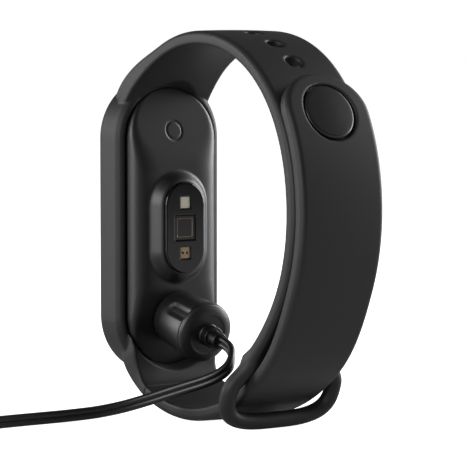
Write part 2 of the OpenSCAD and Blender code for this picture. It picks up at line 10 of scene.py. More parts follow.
import bpy
import numpy as np
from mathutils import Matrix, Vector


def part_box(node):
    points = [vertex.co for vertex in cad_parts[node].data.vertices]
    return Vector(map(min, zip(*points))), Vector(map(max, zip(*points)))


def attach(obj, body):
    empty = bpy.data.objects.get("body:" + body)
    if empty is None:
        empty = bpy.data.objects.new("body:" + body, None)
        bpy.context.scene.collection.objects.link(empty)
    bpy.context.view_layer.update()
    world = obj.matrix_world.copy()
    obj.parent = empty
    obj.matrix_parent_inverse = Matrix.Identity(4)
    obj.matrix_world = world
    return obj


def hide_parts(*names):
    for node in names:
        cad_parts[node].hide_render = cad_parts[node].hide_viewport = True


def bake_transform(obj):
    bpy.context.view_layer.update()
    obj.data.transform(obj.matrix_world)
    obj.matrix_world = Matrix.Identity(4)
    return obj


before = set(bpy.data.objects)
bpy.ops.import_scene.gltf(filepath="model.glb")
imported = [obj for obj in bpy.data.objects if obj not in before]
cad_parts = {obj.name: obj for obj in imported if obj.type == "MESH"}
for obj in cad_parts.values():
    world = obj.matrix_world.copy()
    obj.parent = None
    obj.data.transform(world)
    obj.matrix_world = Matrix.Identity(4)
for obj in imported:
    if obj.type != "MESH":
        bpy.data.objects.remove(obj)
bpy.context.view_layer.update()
MM = 0.001


# %% [markdown]
# ## Sizes that come from the frame
# A piece that seats on a CAD part takes its place from that part's box, so both stay together.
# `box_mm` gives the lowest and highest corner of a node in millimetres.


# %% Read sizes from the CAD boxes
def box_mm(name):
    """Lowest and highest corner of a CAD node, in millimetres, as two arrays."""
    low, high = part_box(name)
    return np.array(low) / MM, np.array(high) / MM


glass_low, glass_high = box_mm("front_glass")
_, frame_high = box_mm("band_frame")
window_low, window_high = box_mm("sensor_window")
_, cover_high = box_mm("rear_cover")
strap_low, strap_high = box_mm("hole_strap")
tip_low, tip_high = box_mm("strap_tip")

MID_Z = (window_low[2] + window_high[2]) / 2
TRACKER_R = glass_high[0]
TRACKER_STRAIGHT = (glass_high[2] - glass_low[2]) / 2 - TRACKER_R
GLASS_Y = glass_low[1]
FRAME_R = frame_high[0]
FRAME_Y0, FRAME_Y1 = GLASS_Y + 1.0, GLASS_Y + 7.45
LIP_Y = FRAME_Y1 - 0.9
BACK_Y = GLASS_Y + 10.3
print(f"tracker {2 * TRACKER_R:.1f} mm wide, middle at z = {MID_Z:.2f} mm, back at y = {BACK_Y:.2f} mm")

# %% [markdown]
# ## The camera
# A long lens from well back keeps the loop's shape. The camera stands behind the clasp,
# 4 degrees above the horizon. It comes first: the lead has to be put away outside its view.

# %% Place the camera
AZIMUTH, ELEVATION, DISTANCE = np.radians(145.0), np.radians(4.1), 400.0
TARGET = np.array([0.0, -1.95, MID_Z])
LENS = 193.5

back_vector = np.array(
    [np.sin(AZIMUTH) * np.cos(ELEVATION), -np.cos(AZIMUTH) * np.cos(ELEVATION), np.sin(ELEVATION)]
)
camera_data = bpy.data.cameras.new("camera")
camera_data.lens = LENS
camera_data.sensor_width = 36.0
camera = bpy.data.objects.new("camera", camera_data)
bpy.context.scene.collection.objects.link(camera)
camera.location = (TARGET + DISTANCE * back_vector) * MM
camera.rotation_euler = (np.pi / 2 - ELEVATION, 0.0, AZIMUTH)
camera_data.clip_start, camera_data.clip_end = 0.01, 20.0
bpy.context.scene.camera = camera
print("camera at", [round(value, 4) for value in camera.location])

# %% [markdown]
# ## Tools that every piece needs
# A mesh is two arrays: where its points are, and which points each face joins. A closed surface whose
# faces point inwards has a negative volume; `add_piece` turns its faces round.


# %% Make a mesh piece from arrays
def volume_of(points, faces):
    """Volume inside closed faces: the sum over triangles of a . (b x c) / 6."""
    total = 0.0
    for corner in range(1, faces.shape[1] - 1):
        a, b, c = (points[faces[:, k]] for k in (0, corner, corner + 1))
        total += np.einsum("ij,ij->i", a, np.cross(b, c)).sum() / 6
    return total


def add_piece(name, points, faces, material, sharp=40.0, outward=True):
    """Adds a smooth-shaded mesh of quads or triangles, given in millimetres, and returns its object."""
    points = np.asarray(points, float)
    faces = np.asarray(faces)
    if outward and volume_of(points, faces) < 0:
        faces = faces[:, ::-1]
    mesh = bpy.data.meshes.new(name)
    mesh.from_pydata((points * MM).tolist(), [], faces.tolist())
    mesh.shade_smooth()
    mesh.set_sharp_from_angle(angle=np.radians(sharp))
    mesh.materials.append(material)
    piece = bpy.data.objects.new(name, mesh)
    bpy.context.scene.collection.objects.link(piece)
    return piece


def grid_faces(rows, columns, close_rows=False, close_columns=False):
    """Quads that join a grid of points, row by row; either direction may close on itself."""
    i = np.arange(rows if close_rows else rows - 1)[:, None]
    j = np.arange(columns if close_columns else columns - 1)[None, :]
    i2, j2 = (i + 1) % rows, (j + 1) % columns
    quad = [i * columns + j, i * columns + j2, i2 * columns + j2, i2 * columns + j]
    return np.stack(np.broadcast_arrays(*quad), axis=-1).reshape(-1, 4)


def unit(vectors):
    """Vectors scaled to length one."""
    return vectors / np.maximum(np.linalg.norm(vectors, axis=-1, keepdims=True), 1e-12)


def add_tube(name, rings, start, end, material, sharp=40.0):
    """Adds a closed tube: triangles from ring to ring and a fan to a point at each end."""
    n, m = len(rings), len(rings[0])
    points = np.vstack([*rings, [start], [end]])
    quads = grid_faces(n, m, close_columns=True)
    j, after = np.arange(m), (np.arange(m) + 1) % m
    near = np.stack([np.full(m, n * m), after, j], axis=1)
    far = np.stack([np.full(m, n * m + 1), (n - 1) * m + j, (n - 1) * m + after], axis=1)
    triangles = np.vstack([quads[:, [0, 1, 2]], quads[:, [0, 2, 3]], near, far])
    return add_piece(name, points, triangles, material, sharp)


def enlist(piece, body, slot, *nodes):
    """Lets a piece ride a body in place of these CAD nodes, if any; the slot is not used."""
    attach(piece, body)
    if nodes:
        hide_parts(*nodes)


# %% [markdown]
# ## Materials
# Nearly everything here is black, so the eye tells the parts apart by gloss alone.
# Colours are written as sRGB hex values and turned into linear light.


# %% Material helpers
def to_linear(hex_colour):
    """Linear RGBA of an sRGB hex colour: c / 12.92 near black, ((c + 0.055) / 1.055) ^ 2.4 above."""
    parts = [int(hex_colour[k : k + 2], 16) / 255 for k in (1, 3, 5)]
    return [c / 12.92 if c <= 0.04045 else ((c + 0.055) / 1.055) ** 2.4 for c in parts] + [1.0]


def add_node(material, kind, settings=None, values=None, links=None):
    """Adds a shader node; values fill its sockets and links feed them from (node, output)."""
    tree = material.node_tree
    made = tree.nodes.new(kind)
    for key, value in (settings or {}).items():
        setattr(made, key, value)
    for key, value in (values or {}).items():
        made.inputs[key].default_value = value
    for key, (source, output) in (links or {}).items():
        tree.links.new(source.outputs[output], made.inputs[key])
    return made


def new_material(name, colour, roughness, **values):
    """A material of this sRGB colour and roughness; returns it and its Principled shader."""
    material = bpy.data.materials.new(name)
    material.use_nodes = True
    material.diffuse_color = to_linear(colour)
    shader = next(n for n in material.node_tree.nodes if n.type == "BSDF_PRINCIPLED")
    shader.inputs["Base Color"].default_value = to_linear(colour)
    shader.inputs["Roughness"].default_value = roughness
    for key, value in values.items():
        shader.inputs[key.replace("_", " ")].default_value = value
    return material, shader


def add_grain(material, shader, size_mm, height_mm, spread):
    """Gives a surface a fine grain: noise that lifts it by height_mm and may vary its roughness."""
    place = add_node(material, "ShaderNodeTexCoord")
    noise = add_node(
        material, "ShaderNodeTexNoise",
        values={"Scale": 1 / (size_mm * MM), "Detail": 3.0, "Roughness": 0.6},
        links={"Vector": (place, "Object")}
    )
    bump = add_node(
        material, "ShaderNodeBump", values={"Strength": 1.0, "Distance": height_mm * MM},
        links={"Height": (noise, "Fac")}
    )
    material.node_tree.links.new(bump.outputs["Normal"], shader.inputs["Normal"])
    if spread:
        low, high = spread
        varied = add_node(
            material, "ShaderNodeMapRange",
            values={"From Min": 0.3, "From Max": 0.7, "To Min": low, "To Max": high},
            links={"Value": (noise, "Fac")}
        )
        material.node_tree.links.new(varied.outputs["Result"], shader.inputs["Roughness"])


def grained(name, colour, roughness, size_mm, height_mm, spread=None, **values):
    """A material with a fine grain; spread is the range its roughness varies in."""
    material, shader = new_material(name, colour, roughness, **values)
    add_grain(material, shader, size_mm, height_mm, spread)
    return material


# %% [markdown]
# ### Silicone, moulded against a spark-eroded tool
# Liquid silicone copies its steel mould, which was spark-eroded to a fine matte.
# So the rubber shows a broad, soft sheen. The real grit is about 0.02 mm wide;
# it is drawn at 0.12 mm, so that it can show at all.


# %% Silicone
silicone = grained("silicone_moulded_matte", "#181818", 0.5, 0.12, 0.0012, (0.48, 0.58), IOR=1.41)

# %% [markdown]
# ### The tracker's plastics, the puck's plastic and the leads
# The tracker's housing is polycarbonate with a fine moulded grain, a little smoother than silicone. Its
# black is partly the plastic's own colour and partly painted shade: it is set darker to stand for the
# shadow that the straps above cast on the tracker's back.
# The puck is ABS with a satin polish. The twin lead is soft PVC with a low sheen.

# %% Plastics and glass
# The housing's base colour is darkened as painted shade, for the straps' shadow on the tracker's back
housing = grained("polycarbonate_grain_darkened_as_painted_shade", "#0d0d0d", 0.4, 0.1, 0.0008, (0.38, 0.46), IOR=1.58)
abs_satin = grained("abs_satin_polished", "#181818", 0.38, 0.35, 0.0006, (0.36, 0.42), IOR=1.53)
relief_tpe = grained("tpe_overmould", "#0b0b0b", 0.36, 0.15, 0.0008, IOR=1.5)
pvc_jacket = grained("pvc_twin_jacket", "#080808", 0.34, 0.3, 0.001, (0.3, 0.4), IOR=1.53)
cover_glass, _ = new_material(
    "black_printed_cover_glass", "#050505", 0.06, IOR=1.51, Coat_Weight=0.4, Coat_Roughness=0.03
)
window_lens, _ = new_material("polished_black_lens", "#060606", 0.07, IOR=1.5)
anodised = grained(
    "anodised_black_aluminium", "#151516", 0.3, 0.06, 0.0006, (0.26, 0.34), Metallic=0.3, IOR=1.6
)
led_ceramic = grained("led_cream_ceramic", "#b9b2a2", 0.45, 0.2, 0.002)
led_copper = grained("led_gilded_ceramic", "#927a60", 0.4, 0.2, 0.002)
diode_glass, _ = new_material("photodiode_dark_glass", "#120f0e", 0.08, IOR=1.52)
diode_metal, _ = new_material("photodiode_frame_metal", "#7a6a5c", 0.3, Metallic=0.8)

# %% [markdown]
# ## The twin lead
# The lead is two thin insulated wires joined side by side, 2 mm wide and a little over 1 mm thick.
# It leaves the puck along its axis, drops to the floor in one loose bend and runs off to the side.
# Its total length is about 0.41 m. What is not needed lies in a coil of six turns, in two layers.
# Its section is not round, so it is swept as a mesh. The wide side stands upright all along,
# as the lead does when it comes out of its strain relief.

# %% The lead's route
LEAD_W = 2.0
LOBE_R, LOBE_AT = 0.56, 0.44
DOCK_TILT = np.radians(13.0)
FACET_START, DOCK_Z = 9.3, 14.85
DOCK = np.array([0.0, BACK_Y - (DOCK_Z - FACET_START) * np.tan(DOCK_TILT), MID_Z - DOCK_Z])
PUCK_AXIS = np.array([0.0, np.cos(DOCK_TILT), -np.sin(DOCK_TILT)])
EXIT_AT = 13.42
exit_point = DOCK + EXIT_AT * PUCK_AXIS

lead_route = [
    [0, -3.8, 11.85], [0.3, -2.1, 11.2], [1, -0.8, 10.1], [2.1, -0.2, 8.7], [3.6, -0.7, 7.5],
    [5.3, -2.1, 6.5], [7.2, -4.3, 5.5], [9.2, -6.8, 4.4], [11.8, -9.2, 3.2], [15, -11.4, 2.1],
    [18.6, -13, 1.4], [22.6, -14, 1.1], [27, -14.5, 1], [32, -14.6, 1], [37, -14.5, 1],
    [41, -14.5, 1],
]
COIL_MIDDLE = np.array([44.5, -25.5])
COIL_OUTER, COIL_INNER = 11.0, 7.0
TURNS_LOW, TURNS_HIGH = 3, 3
TURN_POINTS = 40
tail_route = [[48, -14.4, 3], [51.5, -14, 3.2], [55, -13.5, 3.5], [57.5, -13.5, 3.5]]


def ramp(t):
    """Smooth step from 0 to 1: 3 t^2 - 2 t^3."""
    t = np.clip(t, 0.0, 1.0)
    return t * t * (3 - 2 * t)


def coil_route():
    """Points of the coil: three turns inwards on the floor, three outwards on top."""
    turn = np.arange(0, (TURNS_LOW + TURNS_HIGH) * TURN_POINTS + 1) / TURN_POINTS
    inward = COIL_OUTER - LEAD_W * (ramp((turn - 0.6) / 0.4) + ramp((turn - 1.6) / 0.4))
    outward = COIL_INNER + LEAD_W * (ramp((turn - 3.6) / 0.4) + ramp((turn - 4.6) / 0.4))
    radius = np.where(turn < TURNS_LOW, inward, outward)
    height = LEAD_W / 2 + LEAD_W * ramp((turn - 2.6) / 0.4)
    angle = np.pi / 2 - 2 * np.pi * turn
    x, y = COIL_MIDDLE[0] + radius * np.cos(angle), COIL_MIDDLE[1] + radius * np.sin(angle)
    return np.stack([x, y, height], axis=1)


def smooth_path(points, step):
    """A Catmull-Rom curve through the points, cut again into even steps of about this length."""
    p = np.vstack([2 * points[0] - points[1], points, 2 * points[-1] - points[-2]])
    t = np.linspace(0, 1, 12, endpoint=False)[None, :, None]
    a, b, c, d = (p[k : len(p) - 3 + k, None, :] for k in range(4))
    curve = 0.5 * (
        2 * b + (c - a) * t + (2 * a - 5 * b + 4 * c - d) * t**2 + (3 * b - a - 3 * c + d) * t**3
    )
    curve = np.vstack([curve.reshape(-1, 3), points[-1]])
    along = np.concatenate([[0], np.cumsum(np.linalg.norm(np.diff(curve, axis=0), axis=1))])
    even = np.linspace(0, along[-1], int(round(along[-1] / step)) + 1)
    return np.stack([np.interp(even, along, curve[:, k]) for k in range(3)], axis=1)


route = np.vstack([exit_point, lead_route, coil_route(), tail_route])
lead_path = smooth_path(route, 0.5)


# %% Sweep the twin section along the route
def twin_outline(points_per_lobe=14):
    """Outline of two round lobes that touch: an arc of each circle, from groove to groove."""
    open_angle = np.arccos(-LOBE_AT / LOBE_R)
    arc = np.linspace(-open_angle, open_angle, points_per_lobe)
    right = np.stack([LOBE_AT + LOBE_R * np.cos(arc), LOBE_R * np.sin(arc)], axis=1)
    return np.vstack([right[:-1], -right[:-1]])


def add_swept(name, path, outline, material):
    """Carries a flat outline along a path; its first axis stays as upright as the path allows."""
    along = unit(np.gradient(path, axis=0))
    upright = np.array([0.0, 0.0, 1.0])
    wide = unit(upright - (along @ upright)[:, None] * along)
    thin = np.cross(along, wide)
    rings = (
        path[:, None, :]
        + outline[None, :, :1] * wide[:, None, :]
        + outline[None, :, 1:] * thin[:, None, :]
    )
    return add_tube(name, rings, path[0], path[-1], material)


twin_lead = add_swept("twin_lead", lead_path, twin_outline(), pvc_jacket)
enlist(twin_lead, "charger", "cord", "cord_lead", "cord_coil", "cord_tail")
print("twin lead:", len(twin_lead.data.polygons), "faces")

# %% [markdown]
# ## Silicone as a field of distances
# The band is one moulding with soft joins, which separate meshes would not give.
# So it is described as a field: at every point, how far is it to the silicone?
# Two shapes are joined by taking the smaller distance, and cut by taking the larger one.
# A rounded minimum gives a fillet. The surface is then found where the distance is zero.
# The straps are flat sheets bent along a path, so their distance is worked out in their own
# coordinates: across the strap, along its path, and out of its inner face.


# %% Paths of the two straps
def curve_between(a, b, fullness=1.0, count=400):
    """Points of a cubic from station a to b, each (y, z, heading), with the handles of an even arc."""
    start, end = np.array(a[:2], float), np.array(b[:2], float)
    turn = np.radians(abs(b[2] - a[2]))
    reach = fullness * np.linalg.norm(end - start) / (3 * np.cos(turn / 4) ** 2)
    heads = [np.array([np.cos(h), np.sin(h)]) for h in np.radians([a[2], b[2]])]
    p = [start, start + reach * heads[0], end - reach * heads[1], end]
    t = np.linspace(0, 1, count)[:, None]
    return (1 - t) ** 3 * p[0] + 3 * t * (1 - t) ** 2 * p[1] + 3 * t**2 * (1 - t) * p[2] + t**3 * p[3]


STRAP_T, ROOT_T, STRAP_W, ROOT_W = 2.1, 4.4, strap_high[0] - strap_low[0], 16.6
CROWN, EDGE_R, INNER_R = 0.15, 0.85, 0.4
BOTH_T = 2 * STRAP_T + CROWN + 0.1
BAND_H = strap_high[2]
clasp_y = tip_high[1] - CROWN

hole_root = (FRAME_Y1 - 0.65, MID_Z + TRACKER_STRAIGHT + TRACKER_R - 2.9, 52)
hole_crest = (-1.1, BAND_H - STRAP_T - CROWN, 0)
hole_back = (clasp_y - BOTH_T, MID_Z + 4.4, -90)
hole_low = (hole_back[0] - 9.3, MID_Z - 16.85, -137)
hole_path = np.vstack(
    [
        curve_between(hole_root, hole_crest),
        curve_between(hole_crest, hole_back, 1.07)[1:],
        curve_between(hole_back, hole_low)[1:],
    ]
)
hole_s = np.linspace(0, 3, len(hole_path))


def outward_of(path):
    """Unit normals on the left of a path in the YZ plane."""
    along = unit(np.gradient(path, axis=0))
    return np.stack([-along[:, 1], along[:, 0]], axis=1)


def at_hole_s(s):
    """Place and outward normal of its inner face at s: 0 root, 1 crest, 2 clasp, 3 keeper."""
    normal = outward_of(hole_path)
    place = [np.interp(s, hole_s, hole_path[:, k]) for k in range(2)]
    out = unit(np.array([np.interp(s, hole_s, normal[:, k]) for k in range(2)]))
    return np.array(place), out


SPREAD = 0.9
clasp_s = np.linspace(3, 1.5, 600)
clasp_inner = np.stack([np.interp(clasp_s, hole_s, hole_path[:, k]) for k in range(2)], axis=1)
clasp_out = outward_of(hole_path)
clasp_out = unit(np.stack([np.interp(clasp_s, hole_s, clasp_out[:, k]) for k in range(2)], axis=1))
clasp_path = clasp_inner + clasp_out * (BOTH_T + SPREAD * ramp((clasp_s - 2.45) / 0.55))[:, None]

stud_root = (GLASS_Y + 4.8, MID_Z - TRACKER_STRAIGHT - TRACKER_R + 2.4, -74)
stud_corner = (-16.5, 2.45, -23)
stud_bottom = (-5.1, CROWN, 0)
stud_enter = (clasp_path[0, 0], clasp_path[0, 1], hole_low[2] + 180)
stud_path = np.vstack(
    [
        curve_between(stud_root, stud_corner),
        curve_between(stud_corner, stud_bottom)[1:],
        curve_between(stud_bottom, stud_enter)[1:],
        clasp_path[1:],
    ]
)
stud_count = 3 * 400 - 2
stud_s = np.concatenate([np.linspace(0, 3, stud_count), 3 + (3 - clasp_s[1:])])
print("strap paths:", len(hole_path), "and", len(stud_path), "points")


# %% Distances in a strap's own coordinates
CHUNK = 4000  # points whose distances are worked out at one time


def along_path(y, z, path, s):
    """For points in the YZ plane: s of the nearest place on the path, offset to its left, overshoot.

    The nearest sample gives a tangent and a normal there; the rest is two dot products.
    """
    along, left = unit(np.gradient(path, axis=0)), outward_of(path)
    points = np.stack([y.ravel(), z.ravel()], axis=1).astype(np.float32)
    coarse = np.arange(0, len(path), 4)
    samples = path[coarse].astype(np.float32)
    nearest = np.empty(len(points), int)
    for start in range(0, len(points), CHUNK):
        part = points[start : start + CHUNK]
        gap = ((part[:, None, :] - samples[None, :, :]) ** 2).sum(axis=2)
        nearest[start : start + CHUNK] = coarse[gap.argmin(axis=1)]
    for reach in (2, 1):
        tries = np.clip(nearest[:, None] + reach * np.array([-1, 0, 1]), 0, len(path) - 1)
        gap = ((points[:, None, :] - path[tries]) ** 2).sum(axis=2)
        nearest = np.take_along_axis(tries, gap.argmin(axis=1)[:, None], axis=1)[:, 0]
    away = points - path[nearest]
    offset = (away * left[nearest]).sum(axis=1)
    run = (away * along[nearest]).sum(axis=1)
    step = np.gradient(s) / np.maximum(np.linalg.norm(np.gradient(path, axis=0), axis=1), 1e-9)
    overshoot = np.where(nearest == len(path) - 1, run, np.where(nearest == 0, -run, -1e3))
    place = np.clip(s[nearest] + run * step[nearest], s.min(), s.max())
    return (array.reshape(y.shape) for array in (place, offset, overshoot))


def rounded(across, through, radius):
    """Distance to the corner of a slab rounded by radius, from the distances to its two faces."""
    a, b = across + radius, through + radius
    return np.minimum(np.maximum(a, b), 0) + np.hypot(np.maximum(a, 0), np.maximum(b, 0)) - radius


def strap_section(side, x, v, width, thickness):
    """Distance to a strap: side is the distance to its edge, v runs from inner to outer face."""
    top = thickness + CROWN * np.clip(1 - (2 * x / width) ** 2, 0, 1)
    radius = np.where(v > top / 2, EDGE_R, INNER_R)
    return rounded(side, np.abs(v - top / 2) - top / 2, radius)


def soft_union(a, b, k):
    """The smaller of two distances, with a fillet of size k where they meet."""
    h = np.clip(0.5 + 0.5 * (b - a) / k, 0, 1)
    return b + (a - b) * h - k * h * (1 - h)


def soft_cut(a, b, k):
    """Shape a without shape b, with the new edge rounded by k."""
    return -soft_union(-a, b, k)


def stadium(x, z, radius, straight):
    """Distance to an outline of two straight sides and two round ends."""
    return np.hypot(x, np.maximum(np.abs(z) - straight, 0)) - radius


# %% [markdown]
# ## From a field to a mesh
# The field is sampled on a cubic lattice. A cell that the surface passes through gets one point,
# the average of the places where the surface crosses the cell's edges, and cells that share such
# an edge are joined by a face. This is the surface net. Then the points are evened out along
# the surface and moved back onto the zero level, so that no ripples show.


# %% Surface nets
CORNERS = list(np.ndindex(2, 2, 2))


def sample(field, places):
    """Values of a lattice between its points, by linear interpolation; places are in cells."""
    places = np.clip(places, 0, np.array(field.shape) - 1.001)
    low = places.astype(int)
    share = places - low
    value = 0.0
    for corner in CORNERS:
        weight = np.ones(len(places))
        for axis in range(3):
            weight = weight * (share[:, axis] if corner[axis] else 1 - share[:, axis])
        value = value + weight * field[tuple((low + corner).T)]
    return value


def surface_net(field, origin, step, relax=3):
    """Points and quads of the surface where a lattice of distances is zero."""
    inside = field < 0
    shape = tuple(n - 1 for n in field.shape)
    count = np.zeros(shape, np.int8)
    for c in CORNERS:
        count += inside[tuple(slice(c[a], c[a] + shape[a]) for a in range(3))]
    cells = np.argwhere((count > 0) & (count < 8))
    index = np.full(shape, -1, np.int64)
    index[tuple(cells.T)] = np.arange(len(cells))
    values = np.stack([field[tuple((cells + c).T)] for c in CORNERS], axis=1)
    total, crossings = np.zeros((len(cells), 3)), np.zeros(len(cells))
    for a, first in enumerate(CORNERS):
        for b in range(a + 1, 8):
            second = CORNERS[b]
            if sum(abs(p - q) for p, q in zip(first, second)) != 1:
                continue
            crossed = (values[:, a] < 0) != (values[:, b] < 0)
            share = values[:, a] / np.where(crossed, values[:, a] - values[:, b], 1)
            place = np.array(first) + share[:, None] * (np.array(second) - np.array(first))
            total += place * crossed[:, None]
            crossings += crossed
    points = cells + total / crossings[:, None]

    quads = []
    for axis in range(3):
        u, v = (axis + 1) % 3, (axis + 2) % 3
        here, ahead = [slice(None)] * 3, [slice(None)] * 3
        here[axis], ahead[axis] = slice(0, -1), slice(1, None)
        change = inside[tuple(here)].astype(np.int8) - inside[tuple(ahead)].astype(np.int8)
        edges = np.argwhere(change != 0)
        edges = edges[(edges[:, u] > 0) & (edges[:, v] > 0)]
        edges = edges[(edges[:, u] < shape[u]) & (edges[:, v] < shape[v])]
        around = []
        for du, dv in ((1, 1), (0, 1), (0, 0), (1, 0)):
            cell = edges.copy()
            cell[:, u] -= du
            cell[:, v] -= dv
            around.append(index[tuple(cell.T)])
        quad = np.stack(around, axis=1)
        flip = change[tuple(edges.T)] < 0
        quad[flip] = quad[flip][:, ::-1]
        quads.append(quad)
    quads = np.vstack(quads)

    slope = np.gradient(field)
    pairs = np.vstack([quads[:, [0, 1]], quads[:, [1, 2]], quads[:, [2, 3]], quads[:, [3, 0]]])
    neighbours = np.bincount(pairs.ravel(), minlength=len(points)).astype(float)
    for turn in range(relax + 1):
        if turn:
            middle = np.zeros_like(points)
            for axis in range(3):
                for a, b in ((0, 1), (1, 0)):
                    middle[:, axis] += np.bincount(
                        pairs[:, a], weights=points[pairs[:, b], axis], minlength=len(points)
                    )
            points = 0.5 * points + 0.5 * middle / neighbours[:, None]
        for _ in range(2):
            gradient = np.stack([sample(g, points) for g in slope], axis=1)
            size = np.maximum((gradient**2).sum(axis=1), 0.05 * step**2)
            move = sample(field, points) / size
            points -= np.clip(move, -0.5, 0.5)[:, None] * gradient
    return origin + points * step, quads


def lattice(low, high, step):
    """Coordinates of a lattice whose x values mirror about zero."""
    half = int(np.ceil(high[0] / step)) + 2
    x = np.arange(-half, half + 1) * step
    y = np.arange(low[1] - 2 * step, high[1] + 2.5 * step, step)
    z = np.arange(low[2] - 2 * step, high[2] + 2.5 * step, step)
    return x, y, z


def half_lattice(low, high, step):
    """Half of a lattice, x from zero up: origin of the whole, x, y, z to broadcast, flat y and z."""
    x, y, z = lattice(low, high, step)
    flat_y, flat_z = np.meshgrid(y, z, indexing="ij")
    half = x[len(x) // 2 :, None, None]
    return np.array([x[0], y[0], z[0]]), half, y[:, None], z[None, :], flat_y, flat_z


def mirrored(half_field):
    """A field for x from zero up, repeated for negative x."""
    return np.concatenate([half_field[:0:-1], half_field], axis=0)


# %% [markdown]
# ## The band: frame, hole strap and keeper ring
# The frame is a stadium with a seat for the tracker and a thin lip that holds it from behind.
# Both straps start thick where they leave the frame and thin out towards the wrist.
# Beside each end of the tracker the strap has a shallow crescent, cut by a cone that opens backwards,
# so that a thumb can push the tracker out. The keeper is a round rod in a loop.
# The strap runs into it with a wide fillet, as a moulding that has to be torn from its tool needs.

# %% Fields of the band
FRAME_EDGE_R = 1.25
SEAT_R = TRACKER_R + 0.06
LIP_R = TRACKER_R - 0.45
FRAME_STRAIGHT = TRACKER_STRAIGHT + 0.2
HOLE_R, HOLE_PITCH, STUD_S = 1.38, 0.1375, 1.66
ROD_R, RING_GAP, RING_NECK, RING_POWER = 1.3, 1.05, 0.76, 0.62
RING_HALF = STRAP_W / 2 + RING_GAP + ROD_R
FLARE, RING_FILLET = 0.3, 2.6
HOLE_ROOT_T = 3.5
TIP_ROUND = 7.15
CAP_R, CAP_GAP, CAP_T = 4.4, 0.35, 0.8
stud_length = np.concatenate([[0], np.cumsum(np.linalg.norm(np.diff(stud_path, axis=0), axis=1))])


def frame_field(x, y, z):
    """Distance to the frame: a rounded stadium plate, before its seat is cut."""
    side = stadium(x, z - MID_Z, FRAME_R, FRAME_STRAIGHT)
    depth = np.abs(y - (FRAME_Y0 + FRAME_Y1) / 2) - (FRAME_Y1 - FRAME_Y0) / 2
    return rounded(side, depth, FRAME_EDGE_R)


def seat_field(x, y, z):
    """Distance to all that is cut out of the frame: the seat, the hole in the lip and the crescents."""
    seat = np.maximum(stadium(x, z - MID_Z, SEAT_R, TRACKER_STRAIGHT), y - LIP_Y)
    opening = np.maximum(stadium(x, z - MID_Z, LIP_R, TRACKER_STRAIGHT), y - FRAME_Y1 - 3)
    growth = np.where(z > MID_Z, 0.36, 0.27)
    cone = stadium(x, z - MID_Z, LIP_R + 0.12 + growth * (y - FRAME_Y1), TRACKER_STRAIGHT)
    reach = np.where(z > MID_Z, -15.5, -16.3)
    crescent = np.maximum(np.maximum(cone * 0.94, FRAME_Y1 - y), y - reach)
    return np.minimum(np.minimum(seat, opening), crescent)


def hole_strap_field(x, y, z):
    """Distance to the hole strap; it widens towards the keeper and ends in the middle of its rod."""
    place, v, overshoot = along_path(y, z, hole_path, hole_s)
    width = STRAP_W + (ROOT_W - STRAP_W) * (1 - ramp(place / 0.5))
    width = width + 2 * FLARE * ramp((place - 2.35) / 0.65)
    thickness = STRAP_T + (HOLE_ROOT_T - STRAP_T) * (1 - ramp(place / 0.55))
    section = strap_section(np.abs(x) - width / 2, x, v, width, thickness)
    return np.maximum(section, overshoot - ROD_R)


def stud_strap_field(x, y, z, tip=False):
    """Distance to the stud strap. Its path is its outer face, and its tip is a squashed half circle."""
    place, offset, overshoot = along_path(y, z, stud_path, stud_s)
    width = STRAP_W + (ROOT_W - STRAP_W) * (1 - ramp(place / 0.8))
    thickness = STRAP_T + (ROOT_T - STRAP_T) * (1 - ramp(place))
    side = np.abs(x) - width / 2
    if tip:
        to_end = np.interp(place, stud_s, stud_length[-1] - stud_length) - np.maximum(overshoot, 0)
        short = np.maximum(TIP_ROUND - to_end, 0) * (STRAP_W / 2) / TIP_ROUND
        side = np.where(short > 0, np.hypot(x, short) - STRAP_W / 2, side)
    section = strap_section(side, x, thickness - offset, width, thickness)
    return section, place, overshoot


def signed_power(value, power):
    """|value| to a power, with its sign kept."""
    return np.sign(value) * np.abs(value) ** power


def ring_loop(count=240):
    """Middle line of the keeper's rod: a squarish oval, tilted, narrow where the strap joins."""
    place, out = at_hole_s(3.0)
    heading = np.radians(hole_low[2])
    top = place + ROD_R * np.array([np.cos(heading), np.sin(heading)]) + out * STRAP_T / 2
    bar = np.array([stud_bottom[0] + 14.7, ROD_R])
    a = np.linspace(0, 2 * np.pi, count, endpoint=False)
    share = (1 + signed_power(np.cos(a), RING_POWER)) / 2
    spread = RING_NECK + (1 - RING_NECK) * ramp(share / 0.5)
    x = RING_HALF * spread * signed_power(np.sin(a), RING_POWER)
    y, z = (top[k] + share * (bar[k] - top[k]) for k in range(2))
    return np.stack([x, y, z], axis=1)


def rod_field(points, loop):
    """Distance to a rod round a closed loop, from the nearest point of each of its segments."""
    run = np.roll(loop, -1, axis=0) - loop
    length = (run**2).sum(axis=1)
    best = np.full(len(points), 1e9)
    for first in range(0, len(points), CHUNK):
        away = points[first : first + CHUNK, None, :] - loop[None]
        t = np.clip((away * run).sum(axis=2) / length, 0, 1)
        gap = away - t[:, :, None] * run
        best[first : first + CHUNK] = np.sqrt((gap**2).sum(axis=2).min(axis=1))
    return best - ROD_R


def square_to_strap(s, y, z):
    """Distances from the hole strap's inner face at s, along the strap and outwards."""
    middle, out = at_hole_s(s)
    along = (y - middle[0]) * out[1] - (z - middle[1]) * out[0]
    return along, (y - middle[0]) * out[0] + (z - middle[1]) * out[1]


def cut_holes(field, x, y, z, places):
    """Cuts round holes square to the hole strap, with softly rounded edges."""
    for s in places:
        a, h = square_to_strap(s, y, z)
        hole = np.maximum(np.hypot(x, a) - HOLE_R, np.abs(h - STRAP_T / 2) - 3)
        field = soft_cut(field, hole, 0.5)
    return field


# %% Build the band
BAND_STEP = 0.24
SPLIT_S, SPLIT_SLOPE = 1.0, 8.5  # where band and stud strap part, and millimetres per unit of s there


